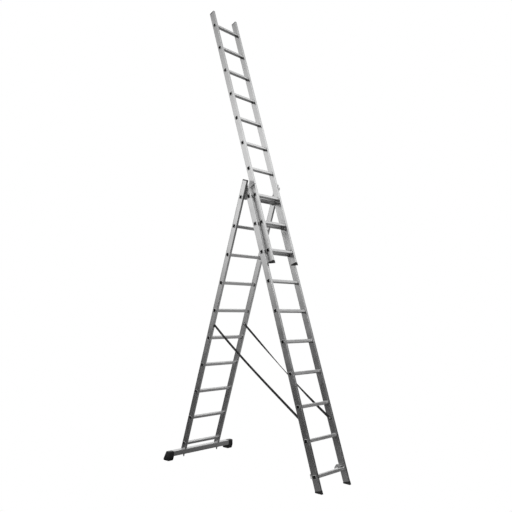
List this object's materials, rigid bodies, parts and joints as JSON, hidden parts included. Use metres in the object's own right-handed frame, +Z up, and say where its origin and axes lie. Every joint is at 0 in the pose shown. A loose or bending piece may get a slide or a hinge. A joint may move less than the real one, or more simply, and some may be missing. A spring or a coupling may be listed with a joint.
{
  "type": "extension ladder",
  "caption": "Aluminium combination ladder set up as an A-frame, with a sliding fly section raised above it, a stabiliser bar under the rear legs and spreader straps.",
  "frame": {"origin": "centre of the bounding box at floor level", "axes": "+Z up, X along the rungs, -Y the front (climbing) side of the fly and middle sections"},
  "size_m": [0.848, 1.7882, 4.585],
  "materials": {
    "stile_aluminium": "satin mill finish",
    "rung_aluminium": "ribbed mill finish",
    "bar_aluminium": "satin mill finish",
    "galvanised_steel": "galvanised",
    "zinc_steel": "zinc plated",
    "black_plastic": "matte",
    "grey_plastic": "matte",
    "webbing": "woven"
  },
  "bodies": {
    "middle_section": {"middle_stile_left": "stile_aluminium", "middle_stile_right": "stile_aluminium", "middle_rung_01": "rung_aluminium", "middle_rung_02": "rung_aluminium", "middle_rung_03": "rung_aluminium", "middle_rung_04": "rung_aluminium", "middle_rung_05": "rung_aluminium", "middle_rung_06": "rung_aluminium", "middle_rung_07": "rung_aluminium", "middle_rung_08": "rung_aluminium", "middle_rung_09": "rung_aluminium", "middle_rung_10": "rung_aluminium", "middle_feet": "black_plastic", "middle_hinge_plate_left": "galvanised_steel", "middle_hinge_plate_right": "galvanised_steel", "hinge_pins": "galvanised_steel", "guide_bracket_left": "galvanised_steel", "guide_bracket_right": "galvanised_steel", "guide_pads": "grey_plastic", "middle_hooks": "galvanised_steel", "middle_fixings": "zinc_steel", "strap_middle_bolts": "zinc_steel"},
    "rear_section": {"rear_stile_left": "stile_aluminium", "rear_stile_right": "stile_aluminium", "rear_rung_01": "rung_aluminium", "rear_rung_02": "rung_aluminium", "rear_rung_03": "rung_aluminium", "rear_rung_04": "rung_aluminium", "rear_rung_05": "rung_aluminium", "rear_rung_06": "rung_aluminium", "rear_rung_07": "rung_aluminium", "rear_rung_08": "rung_aluminium", "rear_rung_09": "rung_aluminium", "rear_rung_10": "rung_aluminium", "rear_top_caps": "black_plastic", "stabiliser_bar": "bar_aluminium", "stabiliser_foot_left": "black_plastic", "stabiliser_foot_right": "black_plastic", "stabiliser_bolts": "zinc_steel", "rear_hinge_plate_left": "galvanised_steel", "rear_hinge_plate_right": "galvanised_steel", "strap_rear_bolts": "zinc_steel", "strap_left": "webbing", "strap_right": "webbing"},
    "fly_section": {"fly_stile_left": "stile_aluminium", "fly_stile_right": "stile_aluminium", "fly_rung_01": "rung_aluminium", "fly_rung_02": "rung_aluminium", "fly_rung_03": "rung_aluminium", "fly_rung_04": "rung_aluminium", "fly_rung_05": "rung_aluminium", "fly_rung_06": "rung_aluminium", "fly_rung_07": "rung_aluminium", "fly_rung_08": "rung_aluminium", "fly_rung_09": "rung_aluminium", "fly_rung_10": "rung_aluminium", "fly_top_caps": "black_plastic", "fly_feet": "black_plastic", "fly_hooks": "galvanised_steel", "fly_fixings": "zinc_steel"}
  },
  "joints": [
    {"name": "fold", "type": "hinge", "parent": "middle_section", "child": "rear_section", "pos_m": [0, -0.04121, 2.56745], "axis": [-1, 0, 0], "range_deg": [0, 35], "deforming": ["strap_left", "strap_right"]},
    {"name": "fly_slide", "type": "slide", "parent": "middle_section", "child": "fly_section", "axis": [0, 0.2957, 0.9553], "range_m": [-1.96, 0]}
  ]
}
